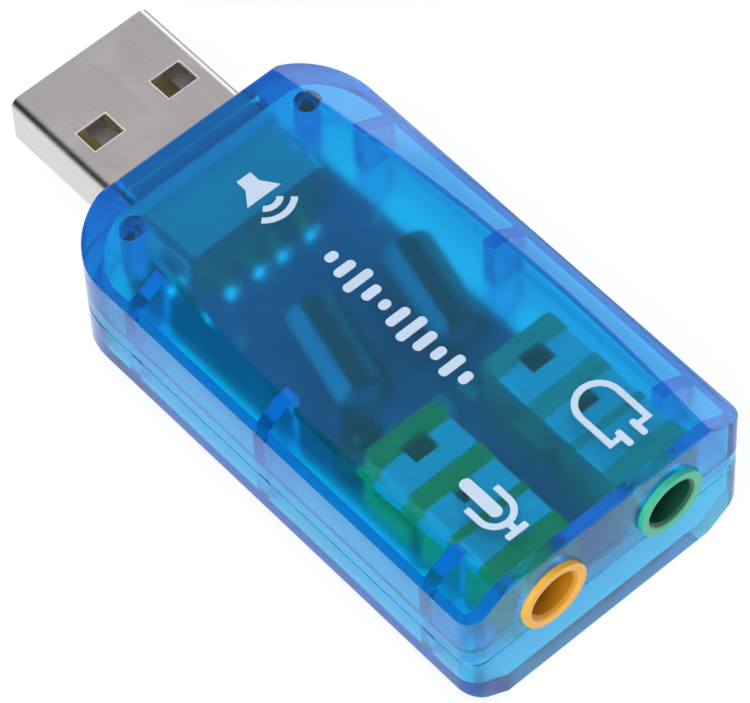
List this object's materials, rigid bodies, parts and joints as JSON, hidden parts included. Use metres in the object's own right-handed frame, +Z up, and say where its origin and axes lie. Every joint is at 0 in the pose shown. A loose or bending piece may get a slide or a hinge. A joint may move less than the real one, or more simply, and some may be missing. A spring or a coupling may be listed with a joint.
{
  "type": "usb sound card",
  "caption": "Plug-in sound card: a translucent blue two-part case with a flat plug at one end and a microphone and a headphone jack at the other.",
  "frame": {"origin": "under the middle of the whole part, on the plane that its flat underside rests on", "axes": "+X out of the jack end, the plug points along -X, +Z up through the printed top, microphone jack towards -Y"},
  "size_m": [0.0532, 0.024, 0.0125],
  "materials": {
    "case_plastic": "polished translucent blue",
    "plug_sheet": "bright nickel plating",
    "contact_carrier": "moulded off-white",
    "gilt_contact": "gold flash",
    "laminate": "dark blue-green solder mask",
    "mic_plastic": "moulded amber yellow",
    "headphone_plastic": "moulded green",
    "spring_metal": "stamped spring strip",
    "strap_metal": "tin-plated sheet",
    "chip_resin": "moulded black",
    "tinned_lead": "tinned",
    "ceramic": "unglazed",
    "crystal_metal": "satin",
    "capacitor_ceramic": "fired tan",
    "resistor_film": "black coat",
    "lamp_lens": "water clear",
    "capacitor_sleeve": "dark shrunk sleeve",
    "capacitor_can": "bright",
    "capacitor_bung": "moulded"
  },
  "bodies": {
    "root": {"top_shell": "case_plastic", "bottom_shell": "case_plastic", "usb_shell": "plug_sheet", "usb_insulator": "contact_carrier", "usb_contact_1": "gilt_contact", "usb_contact_2": "gilt_contact", "usb_contact_3": "gilt_contact", "usb_contact_4": "gilt_contact", "circuit_board": "laminate", "mic_jack_body": "mic_plastic", "headphone_jack_body": "headphone_plastic", "mic_tip_contact": "spring_metal", "mic_ring_contact": "spring_metal", "mic_sleeve_contact": "spring_metal", "headphone_tip_contact": "spring_metal", "headphone_ring_contact": "spring_metal", "headphone_sleeve_contact": "spring_metal", "mic_jack_straps": "strap_metal", "headphone_jack_straps": "strap_metal", "codec_chip": "chip_resin", "codec_leads": "tinned_lead", "crystal_tray": "ceramic", "crystal_lid": "crystal_metal", "chip_capacitors": "capacitor_ceramic", "chip_resistors": "resistor_film", "chip_ends": "tinned_lead", "status_led_lens": "lamp_lens", "status_led_leads": "tinned_lead", "capacitor_1_sleeve": "capacitor_sleeve", "capacitor_1_can": "capacitor_can", "capacitor_1_bung": "capacitor_bung", "capacitor_1_leads": "tinned_lead", "capacitor_2_sleeve": "capacitor_sleeve", "capacitor_2_can": "capacitor_can", "capacitor_2_bung": "capacitor_bung", "capacitor_2_leads": "tinned_lead"}
  },
  "joints": []
}
